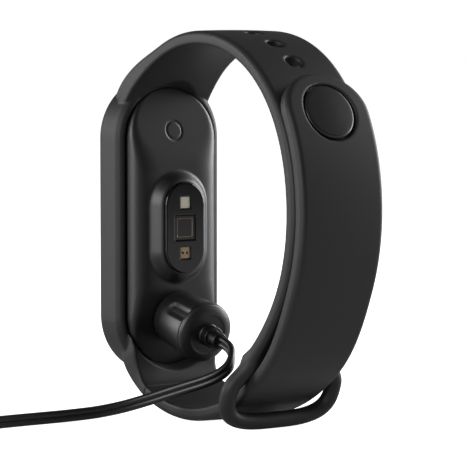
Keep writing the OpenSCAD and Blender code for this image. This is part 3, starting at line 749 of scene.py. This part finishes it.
def band_surface(step):
    """Samples frame, straps and ring on one lattice, half of it, and returns the whole surface."""
    high = [RING_HALF + ROD_R, hole_back[0] + 3.4, BAND_H]
    origin, xs, ys, zs, flat_y, flat_z = half_lattice([0, FRAME_Y0, 0], high, step)
    straps = hole_strap_field(xs, flat_y, flat_z)
    stud, place, _ = stud_strap_field(xs, flat_y, flat_z)
    root = np.maximum(stud, (place - SPLIT_S) * SPLIT_SLOPE)

    loop = ring_loop()
    reach = (loop[:, 1].min() - 4, loop[:, 1].max() + 4)
    near_y = slice(*np.searchsorted(ys[:, 0], reach))
    near_z = slice(0, np.searchsorted(zs[0], loop[:, 2].max() + 4))
    points = np.stack(np.broadcast_arrays(xs, ys[None, near_y], zs[None, :, near_z]), axis=-1)
    rod = rod_field(points.reshape(-1, 3), loop).reshape(points.shape[:-1])
    straps[:, near_y, near_z] = soft_union(straps[:, near_y, near_z], rod, RING_FILLET)

    straps = cut_holes(straps, xs, flat_y, flat_z, STUD_S + HOLE_PITCH * np.arange(-4, 4))
    body = np.minimum(frame_field(xs, ys[None], zs[None]), np.minimum(straps, root))
    body = soft_cut(body, seat_field(xs, ys[None], zs[None]), 0.15)
    return surface_net(mirrored(body), origin, step)


band_points, band_faces = band_surface(BAND_STEP)
band = add_piece("band_moulding", band_points, band_faces, silicone, sharp=60)
enlist(band, "band", "silicone", "band_frame", "hole_strap", "keeper_ring")
print("band:", len(band_faces), "quads")

# %% [markdown]
# ## The stud strap
# The other strap passes up through the keeper and lies over the hole strap.
# Its tip has a round recess for the stud's cap. The tip bends back when the stud is undone, but this
# piece is one fixed mesh that rides no body.


# %% Build the stud strap
STRAP_STEP = 0.2
RECESS_FLOOR = BOTH_T + CROWN - CAP_T - 0.1


def stud_surface(step):
    """Samples the stud strap from its corner at the bottom to its tip, with the recess and the bore."""
    low, high = [0, stud_corner[0] - 1, 0], [STRAP_W / 2, tip_high[1], tip_high[2] + 0.5]
    origin, xs, _, _, flat_y, flat_z = half_lattice(low, high, step)
    strap, place, _ = stud_strap_field(xs, flat_y, flat_z, tip=True)
    strap = np.maximum(strap, (SPLIT_S - place) * SPLIT_SLOPE)
    a, h = square_to_strap(STUD_S, flat_y, flat_z)
    radial = np.hypot(xs, a)
    strap = soft_cut(strap, np.maximum(radial - CAP_R - CAP_GAP, RECESS_FLOOR - h), 0.25)
    strap = soft_cut(strap, np.maximum(radial - 1.3, BOTH_T - STRAP_T - 1 - h), 0.1)
    return surface_net(mirrored(strap), origin, step)


stud_points, stud_faces = stud_surface(STRAP_STEP)
stud_strap = add_piece("stud_strap_moulding", stud_points, stud_faces, silicone, sharp=60)
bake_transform(stud_strap)
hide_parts("stud_strap", "strap_tip")
print("stud strap:", len(stud_faces), "quads")

# %% [markdown]
# ## The tracker's back
# The rear cover is one moulded shell: a wide rounding at its side, flat in the middle,
# and tilted by 13 degrees near both ends. Round the sensor window it rises into a soft ridge.
# It is drawn as a grid between the window's outline and its own, which are both stadiums,
# so one row of the grid is a stadium too. A plain ring is pressed into the upper end.


# %% Build the rear cover
AROUND, ACROSS = ((640, 110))
COVER_R, COVER_STRAIGHT, COVER_T = cover_high[0], TRACKER_STRAIGHT, 0.9
WINDOW_R = 3.86
WINDOW_STRAIGHT = (window_high[2] - window_low[2]) / 2 + 0.06 - WINDOW_R
SIDE_RISE, SIDE_REACH, SIDE_POWER = 2.75, 5.0, 2.0
RIDGE, RIDGE_REACH = window_high[1] - 0.12 - BACK_Y, 2.0
MARK_Z, MARK_R, MARK_W, MARK_DEPTH = 15.9, 1.5, 0.3, 0.14


def stadium_outline(radius, straight, count=AROUND):
    """Points of an upright stadium as (x, z), the same share of them on each arc and each straight."""
    quarter = count // 4
    a = np.linspace(-np.pi / 2, np.pi / 2, quarter + 1)[:-1]
    up = np.linspace(-1, 1, quarter + 1)[:-1]
    right = np.stack([np.full(quarter, radius), straight * up], axis=1)
    top = np.stack([-radius * np.sin(a), straight + radius * np.cos(a)], axis=1)
    half = np.vstack([right, top])
    return np.vstack([half, -half])


def cover_height(x, z):
    """Height of the cover over the frame's rear face, z measured from the tracker's middle."""
    inside = np.maximum(-stadium(x, z, COVER_R, COVER_STRAIGHT), 0)
    share = np.clip(1 - inside / SIDE_REACH, 0, 1)
    side = SIDE_RISE * (1 - share**SIDE_POWER) ** (1 / SIDE_POWER)
    facet = SIDE_RISE - np.maximum(np.abs(z) - FACET_START, 0) * np.tan(DOCK_TILT)
    facet = soft_union(facet, np.full_like(facet, SIDE_RISE), 0.5)
    around = np.maximum(stadium(x, z, WINDOW_R, WINDOW_STRAIGHT), 0)
    ridge = RIDGE * ramp(1 - around / RIDGE_REACH)
    ring = np.abs(np.hypot(x, z - MARK_Z) - MARK_R)
    groove = MARK_DEPTH * ramp(1.5 - 2 * ring / MARK_W)
    return soft_union(side, facet, 0.9) + ridge - groove


def cover_grid():
    """Outside of the cover from the window outwards, then its inside, 0.9 mm deeper, back again."""
    inner = stadium_outline(WINDOW_R, WINDOW_STRAIGHT)
    outer = stadium_outline(COVER_R, COVER_STRAIGHT)
    narrow = stadium_outline(COVER_R - COVER_T, COVER_STRAIGHT)
    left = 1 - np.linspace(0, 1, ACROSS)
    share = 1 - 0.45 * left - 0.55 * left**2
    base = BACK_Y - SIDE_RISE
    rows = []
    for shares, edge, drop in ((share, outer, 0.0), (share[::-1], narrow, COVER_T + 0.02)):
        for t in shares:
            line, wide = inner + t * (edge - inner), inner + t * (outer - inner)
            height = cover_height(wide[:, 0], wide[:, 1])
            rows.append(np.stack([line[:, 0], base + height - drop, line[:, 1]], axis=1))
    return np.array(rows)


cover_rows = cover_grid()
cover_points = cover_rows.reshape(-1, 3) + [0, 0, MID_Z]
cover_faces = grid_faces(len(cover_rows), cover_rows.shape[1], close_rows=True, close_columns=True)
cover = add_piece("rear_cover_shell", cover_points, cover_faces, housing, sharp=50)
enlist(cover, "tracker", "housing", "rear_cover")
print("rear cover:", len(cover_faces), "quads")

# %% [markdown]
# ## Window, light sources and photodiode
# The window is a black printed lens with three clear squares, which are drawn as openings.
# A cream ceramic light source fills the upper and the lower one, and the photodiode the large one.
# The lower source shows the two dark dies on its ceramic.
# The photodiode is dark glass with a thin frame line.


# %% Solids from fields
def solid_piece(name, field, low, high, step, material, body, slot, stands_for, sharp=45.0):
    """Turns a field over a box into a closed piece that rides a body and stands for CAD nodes."""
    x, y, z = (np.arange(a - 2 * step, b + 3 * step, step) for a, b in zip(low, high))
    values = field(x[:, None, None], y[None, :, None], z[None, None, :])
    values = np.broadcast_to(values, (len(x), len(y), len(z)))
    points, faces = surface_net(np.ascontiguousarray(values), np.array([x[0], y[0], z[0]]), step)
    piece = add_piece(name, points, faces, material, sharp=sharp)
    enlist(piece, body, slot, *stands_for)
    print(f"{name}: {len(faces)} quads")
    return piece


def box_field(x, y, z, middle, size, corner, edge):
    """Distance to a box with rounded corners seen from behind, and a rounded edge at its faces."""
    a = np.abs(x - middle[0]) - size[0] / 2
    b = np.abs(z - middle[2]) - size[2] / 2
    side = rounded(a, b, corner)
    return rounded(side, np.abs(y - middle[1]) - size[1] / 2, edge)


# %% Sensor window and what shows through it
LED_OFFSET, LED_SIZE, EYE_SIZE = 4.15, 2.0, 4.2
FINE = 0.075
window_middle = (window_low + window_high) / 2
openings = [(LED_OFFSET, LED_SIZE), (0.0, EYE_SIZE), (-LED_OFFSET, LED_SIZE)]


def window_field(x, y, z):
    """Distance to the lens: a stadium plate with a rounded rim and three square openings."""
    side = stadium(x, z - MID_Z, WINDOW_R - 0.06, WINDOW_STRAIGHT)
    plate = rounded(side, np.abs(y - window_middle[1]) - 0.55, 0.28)
    for offset, size in openings:
        gap = box_field(x, y, z, [0, window_high[1], MID_Z + offset], [size, 9, size], 0.12, 0.05)
        plate = soft_cut(plate, gap, 0.06)
    return plate


solid_piece(
    "sensor_window_lens", window_field, window_low, window_high, FINE, window_lens,
    "tracker", "window", ["sensor_window"],
)


def chip_piece(name, offset, size, top, material, node, slot):
    """A chip with softly rounded edges that fills its opening, its face at this y."""
    middle = np.array([0, top - 0.9, MID_Z + offset])
    half = np.array([size / 2, 0.9, size / 2])

    def field(x, y, z):
        return box_field(x, y, z, middle, 2 * half, 0.1, 0.08)

    low, high = middle - half, middle + half
    solid_piece(name, field, low, high, FINE, material, "tracker", slot, [node])


FACE_Y = window_high[1] - 0.14
LED_FIT, EYE_FIT = LED_SIZE - 0.06, EYE_SIZE - 0.06
chip_piece("led_top_ceramic", LED_OFFSET, LED_FIT, FACE_Y, led_ceramic, "led_top", "led")
chip_piece("led_bottom_ceramic", -LED_OFFSET, LED_FIT, FACE_Y, led_copper, "led_bottom", "led")
chip_piece(
    "photodiode_glass", 0.0, EYE_FIT, FACE_Y - 0.12, diode_glass, "photodiode", "photodiode"
)
LINE_MIDDLE, LINE_AT = np.array([0, FACE_Y - 0.12, MID_Z]), np.array([1.65, 0.1, 1.65])
DIES_MIDDLE, DIES_AT = np.array([0, FACE_Y, MID_Z - LED_OFFSET]), np.array([0.7, 0.05, 0.3])


def frame_line_field(x, y, z):
    """Distance to the thin square line round the photodiode's active area."""
    outer, inner = (
        box_field(x, y, z, LINE_MIDDLE, [size, 0.1, size], 0.1, 0.02) for size in (3.2, 2.84)
    )
    return np.maximum(outer, -inner)


def dies_field(x, y, z):
    """Distance to the two round dies of the lower light source."""
    depth = np.abs(y - FACE_Y) - 0.04
    left, right = (
        rounded(np.hypot(x - side * 0.42, z - MID_Z + LED_OFFSET) - 0.25, depth, 0.02)
        for side in (-1, 1)
    )
    return np.minimum(left, right)


for name, field, middle, half, material in (
    ("photodiode_frame_line", frame_line_field, LINE_MIDDLE, LINE_AT, diode_metal),
    ("led_bottom_dies", dies_field, DIES_MIDDLE, DIES_AT, diode_glass),
):
    low, high = middle - half, middle + half
    solid_piece(name, field, low, high, FINE * 0.7, material, "tracker", "photodiode", [])

# %% [markdown]
# ## Display side
# The front is one piece of cover glass whose edge falls away in a wide curve, as on any such tracker.

# %% Front glass
GLASS_STEP = 0.16


def glass_field(x, y, z):
    """Distance to the glass: a stadium plate, its edge rounded off elliptically towards the front."""
    side = stadium(x, z - MID_Z, TRACKER_R, TRACKER_STRAIGHT)
    edge = np.clip(1 + side / 1.6, 0, 1)
    front = glass_low[1] + 0.55 * (1 - np.sqrt(1 - edge**2 * 0.98))
    return np.maximum(np.maximum(side, front - y), y - glass_high[1])


solid_piece(
    "front_glass_curved", glass_field, glass_low, glass_high, GLASS_STEP, cover_glass, "tracker",
    "display_glass", ["front_glass"],
)

# %% [markdown]
# ## The stud's cap
# The cap is turned from aluminium and anodised black, with a slightly domed face and a chamfer.
# It sits in the round recess of the strap's tip and leaves a narrow gap all round.


# %% Turned pieces
def turned(name, profile, origin, axis, upright, material):
    """A closed turned piece: profile rows are (radius, along), both ends on the axis."""
    axis, upright = unit(np.array(axis, float)), unit(np.array(upright, float))
    a = np.linspace(0, 2 * np.pi, 192, endpoint=False)[:, None]
    ring = np.cos(a) * upright + np.sin(a) * np.cross(axis, upright)
    rings = [origin + h * axis + r * ring for r, h in profile[1:-1]]
    start, end = (origin + profile[k][1] * axis for k in (0, -1))
    return add_tube(name, rings, start, end, material, sharp=60)


def rounded_profile(corners, steps=6):
    """A profile from corners (radius, along, rounding): each corner becomes a small arc."""
    out = [corners[0][:2]]
    for before, corner, after in zip(corners[:-2], corners[1:-1], corners[2:]):
        p, q, r = (np.array(c[:2], float) for c in (before, corner, after))
        if corner[2] <= 0:
            out.append(tuple(q))
            continue
        a, b = unit(p - q), unit(r - q)
        reach = min(corner[2], 0.49 * np.linalg.norm(p - q), 0.49 * np.linalg.norm(r - q))
        for t in np.linspace(0, 1, steps):
            start, end = q + a * reach * (1 - t), q + b * reach * t
            out.append(tuple(start + (end - start) * t))
    return out + [corners[-1][:2]]


stud_at, stud_out = at_hole_s(STUD_S)
stud_origin = np.array([0, *stud_at])
stud_axis = np.array([0, *stud_out])
cap_top = BOTH_T + CROWN - 0.08
cap_profile = rounded_profile(
    [(0, cap_top + 0.14, 0), (1.5, cap_top + 0.125, 0.6), (3.0, cap_top + 0.06, 0.8),
     (CAP_R - 0.28, cap_top, 0.12), (CAP_R, cap_top - 0.22, 0.1),
     (CAP_R, cap_top - CAP_T + 0.1, 0.1), (0, cap_top - CAP_T, 0)]
)
cap = turned("stud_cap_turned", cap_profile, stud_origin, stud_axis, [1, 0, 0], anodised)
enlist(cap, "tip", "anodised_aluminium", "stud_cap")

# %% [markdown]
# ## The charging puck
# The puck is a round housing in two halves, and it widens a little towards the cord.
# An oblong dent for the thumb runs along its upper side up to the seam.
# Behind the seam a cap closes it with a wide rounding. The cord leaves through a stepped sleeve.

# %% Puck halves
PUCK_UP = np.array([0, np.sin(DOCK_TILT), np.cos(DOCK_TILT)])
PUCK_SIDE = np.array([1.0, 0.0, 0.0])
SEAM_AT, PUCK_LEN = 8.5, 9.8
DENT_ANGLE, DENT_START, DENT_W, DENT_DEPTH = np.radians(51), 2.7, 2.8, 0.36


def puck_point(radius, along, angle):
    """A point of the puck; the angle is measured from its upper side towards +X."""
    shape = np.broadcast(radius, along, angle).shape + (1,)
    radius, along, angle = (np.broadcast_to(v, shape[:-1])[..., None] for v in (radius, along, angle))
    return DOCK + along * PUCK_AXIS + radius * (np.cos(angle) * PUCK_UP + np.sin(angle) * PUCK_SIDE)


def puck_radius(along):
    """Outer radius of the puck, which widens evenly from the tracker to the seam."""
    return 4.45 + 0.075 * along


def shell_dent(along, angle, radius):
    """Depth of the thumb dent: a soft-edged half stadium that is open at the seam."""
    sideways = (np.mod(angle - DENT_ANGLE + np.pi, 2 * np.pi) - np.pi) * radius
    before = np.minimum(along - DENT_START - DENT_W / 2, 0)
    away = np.hypot(sideways, before) - DENT_W / 2
    return DENT_DEPTH * ramp(-away / 1.0 + 0.05)


AROUND_PUCK = 360
puck_angle = np.linspace(0, 2 * np.pi, AROUND_PUCK, endpoint=False)
shell_steps = np.linspace(0.55, SEAM_AT - 0.12, 70)


def puck_part(name, rows, node):
    """A ring of moulded plastic whose section is closed: rows are (radius, along)."""
    points = np.concatenate([puck_point(r, w, puck_angle) for r, w in rows])
    faces = grid_faces(len(rows), AROUND_PUCK, close_rows=True, close_columns=True)
    piece = add_piece(name, points, faces, abs_satin, sharp=60)
    enlist(piece, "charger", "puck_plastic", node)
    print(f"{name}: {len(faces)} quads")


shell_rows = [(4.0, 0.35), (puck_radius(0.35) - 0.2, 0.35), (puck_radius(0.4) - 0.06, 0.41)]
for w in shell_steps:
    r = puck_radius(w)
    shell_rows.append((r - shell_dent(w, puck_angle, r), w))
seam_dent = shell_dent(SEAM_AT, puck_angle, puck_radius(SEAM_AT))
shell_rows += [
    (puck_radius(SEAM_AT) - 0.05 - seam_dent, SEAM_AT - 0.04),
    (puck_radius(SEAM_AT) - 0.14 - seam_dent, SEAM_AT - 0.01),
    (4.0, SEAM_AT - 0.01),
]
puck_part("puck_shell_moulded", shell_rows, "puck_shell")

CAP_EDGE_R, FACE_R, FACE_AT = puck_radius(SEAM_AT) - 0.1, 3.35, PUCK_LEN - 0.08
cap_rows = [
    (4.0, SEAM_AT + 0.01), (CAP_EDGE_R - 0.1, SEAM_AT + 0.01), (CAP_EDGE_R - 0.02, SEAM_AT + 0.06),
    (CAP_EDGE_R, SEAM_AT + 0.14), (CAP_EDGE_R, SEAM_AT + 0.3),
]
for a in np.linspace(0, np.radians(62), 9)[1:]:
    cap_rows.append((CAP_EDGE_R - 0.75 * (1 - np.cos(a)), SEAM_AT + 0.3 + 0.62 * np.sin(a)))
last_r, last_w = cap_rows[-1]
for t in np.linspace(0, 1, 14)[1:]:
    rise = (PUCK_LEN - 0.03 - last_w) * (1 - (1 - t) ** 1.7)
    cap_rows.append((last_r + (FACE_R - last_r) * t, last_w + rise))
cap_rows += [(FACE_R - 0.06, PUCK_LEN - 0.04), (FACE_R - 0.14, PUCK_LEN - 0.07)]
cap_rows += [(r, FACE_AT) for r in (FACE_R - 0.3, 2.6, 2.3, 2.0, 1.3)]
cap_rows += [(1.3, PUCK_LEN - 1.2), (4.0, PUCK_LEN - 1.2)]
puck_part("puck_cap_moulded", cap_rows, "puck_cap")

# %% Strain relief
relief_profile = rounded_profile(
    [(0, 8.7, 0), (1.15, 8.7, 0), (1.15, 9.75, 0), (1.72, 9.78, 0.05), (1.86, 9.86, 0.06),
     (1.86, 10.05, 0.06), (1.74, 10.14, 0.05), (1.7, 11.3, 0.05), (1.78, 11.38, 0.05),
     (1.78, 11.55, 0.06), (1.62, 11.62, 0.05), (1.26, 11.64, 0.05), (1.24, 13.05, 0.05),
     (1.34, 13.12, 0.05), (1.34, 13.3, 0.06), (1.2, 13.38, 0.05), (0, 13.4, 0)]
)
relief = turned("strain_relief_sleeve", relief_profile, DOCK, PUCK_AXIS, PUCK_UP, relief_tpe)
enlist(relief, "charger", "relief", "strain_relief")

# %% [markdown]
# ## The plug's grip
# The plug lies at the lead's far end. Its grip is a rounded block with four grooves on each side.

# %% Plug grip
grip_low, grip_high = box_mm("plug_grip")
GRIP_MIDDLE = (grip_low + grip_high) / 2
GRIP_SIZE = grip_high - grip_low


def grip_field(x, y, z):
    """Distance to the grip: a block rounded lengthwise, minus four grooves in each flank."""
    a = np.abs(y - GRIP_MIDDLE[1]) - GRIP_SIZE[1] / 2
    b = np.abs(z - GRIP_MIDDLE[2]) - GRIP_SIZE[2] / 2
    block = rounded(rounded(a, b, 2.2), np.abs(x - GRIP_MIDDLE[0]) - GRIP_SIZE[0] / 2, 0.9)
    flank = GRIP_SIZE[1] / 2
    for k in range(4):
        sideways = np.abs(y - GRIP_MIDDLE[1]) - flank - 0.25
        groove = np.hypot(x - grip_low[0] - 4 - 2.2 * k, sideways) - 0.75
        block = soft_cut(block, groove, 0.3)
    tail = np.hypot(y - GRIP_MIDDLE[1], z - GRIP_MIDDLE[2]) - 0.95
    return soft_cut(block, np.maximum(tail, x - grip_low[0] - 0.6), 0.1)


plug_grip = solid_piece(
    "plug_grip_moulded", grip_field, grip_low, grip_high, 0.22, relief_tpe,
    "charger", "relief", ["plug_grip"],
)

# %% [markdown]
# ## Finish of the parts inside
# Parts that stay as the CAD has them still need their own finish: boards, foil, sheet metal, gold.

# %% Materials of the inner parts
solder_mask = grained("solder_mask_green", "#0d3a22", 0.4, 0.6, 0.004, Coat_Weight=0.3)
flex_film = grained("polyimide_flex", "#8a4b12", 0.35, 0.5, 0.002, Coat_Weight=0.2)
panel_black, _ = new_material("display_panel_off", "#05070a", 0.12, IOR=1.5)
glue_clear = grained("acrylic_adhesive_film", "#1a1a1a", 0.5, 0.3, 0.002)
pouch_foil = grained("aluminium_pouch_foil", "#b9bbbd", 0.35, 0.8, 0.01, (0.28, 0.45), Metallic=1.0)
tape_amber = grained("polyimide_tape", "#a8650f", 0.28, 0.7, 0.003)
sheet_steel = grained("rolled_sheet_steel", "#9a9c9f", 0.32, 0.08, 0.001, (0.28, 0.4), Metallic=1.0)
nickel_sheet = grained("nickel_plated_sheet", "#b7b8ba", 0.24, 0.2, 0.0008, (0.2, 0.3), Metallic=1.0)
brass_turned = grained("turned_brass", "#b08d4c", 0.3, 0.05, 0.0008, Metallic=1.0)
gold_plate, _ = new_material("gold_plating", "#d8a94a", 0.2, Metallic=1.0)
epoxy_black = grained("moulded_epoxy", "#151515", 0.6, 0.1, 0.003)
tongue_lcp = grained("lcp_plug_tongue", "#1d1d1f", 0.45, 0.2, 0.002)

FINISH = [
    (housing, ["mid_housing"]),
    (abs_satin, ["puck_face"]),
    (anodised, ["stud_post"]),
    (glue_clear, ["glass_adhesive"]),
    (panel_black, ["display_panel"]),
    (flex_film, ["display_flex"]),
    (solder_mask, ["sensor_board", "main_board", "puck_board"]),
    (epoxy_black, ["board_chips"]),
    (pouch_foil, ["battery"]),
    (tape_amber, ["battery_tape"]),
    (sheet_steel, ["shield_can", "motor_case", "motor_rotor", "dock_plates"]),
    (sheet_steel, ["spring_left", "spring_right"]),
    (nickel_sheet, ["puck_magnets", "plug_shell"]),
    (brass_turned, ["pin_barrels"]),
    (gold_plate, ["charge_contacts", "pin_left", "pin_right", "plug_contacts"]),
    (tongue_lcp, ["plug_tongue"]),
]
for finish, node_names in FINISH:
    for node_name in node_names:
        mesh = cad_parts[node_name].data
        mesh.materials.clear()
        mesh.materials.append(finish)
print("finished CAD parts:", sum(len(node_names) for _, node_names in FINISH))

# %% [markdown]
# ## Floor and light
# The object stands on a plain pale sheet that fills the view, as in a catalogue picture.
# Two large soft lights stand at its sides, so every rounded edge of the black rubber catches a line.

# %% Floor, world and lights
ROOM_LIGHT = 0.24
floor_material, floor_shader = new_material("pale_paper_sweep", "#dddddd", 0.9, Specular_IOR_Level=0.1)
floor_shader.inputs["Emission Color"].default_value = (1.0, 1.0, 1.0, 1.0)
floor_ray = add_node(floor_material, "ShaderNodeLightPath")
glow = add_node(
    floor_material, "ShaderNodeMath", settings={"operation": "MULTIPLY"}, values={1: 0.99},
    links={0: (floor_ray, "Is Camera Ray")}
)
floor_material.node_tree.links.new(glow.outputs[0], floor_shader.inputs["Emission Strength"])
FLOOR_HALF = 3000.0
floor_corners = FLOOR_HALF * np.array([[-1, -1, 0], [1, -1, 0], [1, 1, 0], [-1, 1, 0]])
floor = add_piece("floor", floor_corners, np.array([[0, 1, 2, 3]]), floor_material, outward=False)

world = bpy.data.worlds.new("studio")
bpy.context.scene.world = world
world.use_nodes = True
background = next(n for n in world.node_tree.nodes if n.type == "BACKGROUND")
world_end = next(n for n in world.node_tree.nodes if n.type == "OUTPUT_WORLD")
ray = add_node(world, "ShaderNodeLightPath")
place = add_node(world, "ShaderNodeTexCoord")
parts = add_node(world, "ShaderNodeSeparateXYZ", links={"Vector": (place, "Generated")})
# Light from above is strong and light from low down is weak, so the undersides stay dark
height = add_node(
    world, "ShaderNodeMapRange",
    values={"From Min": -0.1, "From Max": 0.9, "To Min": 0.1, "To Max": ROOM_LIGHT},
    links={"Value": (parts, "Z")}
)
room = add_node(world, "ShaderNodeBackground", links={"Strength": (height, "Result")})
background.inputs["Color"].default_value = (1.0, 1.0, 1.0, 1.0)
background.inputs["Strength"].default_value = 1.0
choice = add_node(world, "ShaderNodeMixShader", links={0: (ray, "Is Camera Ray")})
world.node_tree.links.new(room.outputs[0], choice.inputs[1])
world.node_tree.links.new(background.outputs[0], choice.inputs[2])
world.node_tree.links.new(choice.outputs[0], world_end.inputs["Surface"])
bpy.context.scene.view_settings.view_transform = "Standard"


def add_light(name, place, size, power):
    """A square soft light at a place in millimetres that faces the middle of the band."""
    data = bpy.data.lights.new(name, "AREA")
    data.shape, data.size, data.energy = "SQUARE", size * MM, power
    light = bpy.data.objects.new(name, data)
    bpy.context.scene.collection.objects.link(light)
    aim = unit(TARGET - np.array(place, float))
    light.location = np.array(place) * MM
    yaw, pitch = np.arctan2(aim[1], aim[0]) - np.pi / 2, np.arcsin(aim[2])
    light.rotation_euler = (np.pi / 2 + pitch, 0, yaw)
    return light


add_light("light_left", (500, 150, 180), 320, 2.1)
add_light("light_left_back", (400, -420, 150), 320, 1.9)
add_light("light_right", (-510, 50, 180), 340, 3.5)
